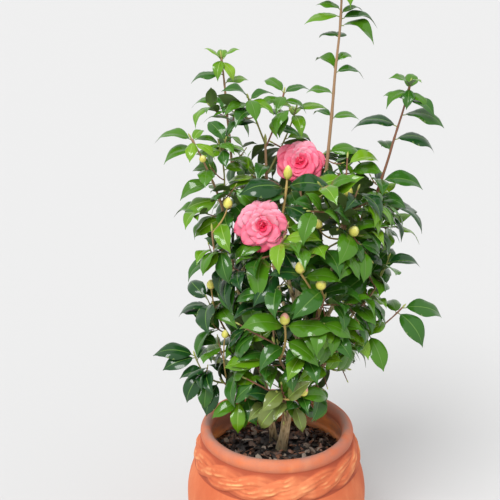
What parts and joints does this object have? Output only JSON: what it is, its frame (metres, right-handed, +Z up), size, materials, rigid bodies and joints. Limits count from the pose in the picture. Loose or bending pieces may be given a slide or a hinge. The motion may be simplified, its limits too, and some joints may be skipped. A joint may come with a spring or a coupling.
{
  "type": "potted camellia shrub",
  "caption": "Young flowering camellia shrub with glossy leaves on slender stems, growing in a round terracotta pot with a rope band.",
  "frame": {"origin": "middle of the pot's flat underside", "axes": "+Z up along the pot's axis, -Y towards the side that faces the viewer, +X to the viewer's right"},
  "size_m": [0.5756, 0.3872, 1.2681],
  "materials": {
    "terracotta": "unglazed fired clay, weathered, matt with pale wear on the rope band and rim",
    "soil": "damp potting soil under dark bark mulch, rough",
    "bark": "smooth buff-grey bark with fine cracks, matt",
    "leaf": "glossy dark green leaves, paler and matt underneath",
    "twig": "young red-brown to tan twigs, satin",
    "petal": "soft pink petals with a faint sheen, deeper towards the middle",
    "bud": "yellow-green overlapping bud scales, satin"
  },
  "bodies": {
    "root": {"pot": "terracotta", "soil": "soil", "trunk_front": "bark", "trunk_back": "bark", "bough_leader": "bark", "bough_right": "bark", "bough_centre": "bark", "bough_front": "bark", "bough_up_right": "bark", "bough_back": "bark", "bough_bloom": "bark", "bough_mid_right": "bark", "bough_right_back": "bark", "bough_left": "bark", "bough_far_left": "bark", "bough_upper_left": "bark", "bough_back_left": "bark", "leader": "leaf", "right_leader": "leaf", "left_leader": "leaf", "far_left": "leaf", "centre_shoots": "leaf", "upper_centre": "leaf", "upper_front": "leaf", "upper_right": "leaf", "upper_left": "leaf", "upper_back": "leaf", "right_back": "leaf", "back_left": "leaf", "mid_right": "leaf", "mid_left": "leaf", "mid_front": "leaf", "mid_front_right": "leaf", "mid_back": "leaf", "low_left": "leaf", "low_front": "leaf", "low_right": "leaf", "low_back": "leaf", "low_back_right": "leaf"}
  },
  "joints": []
}
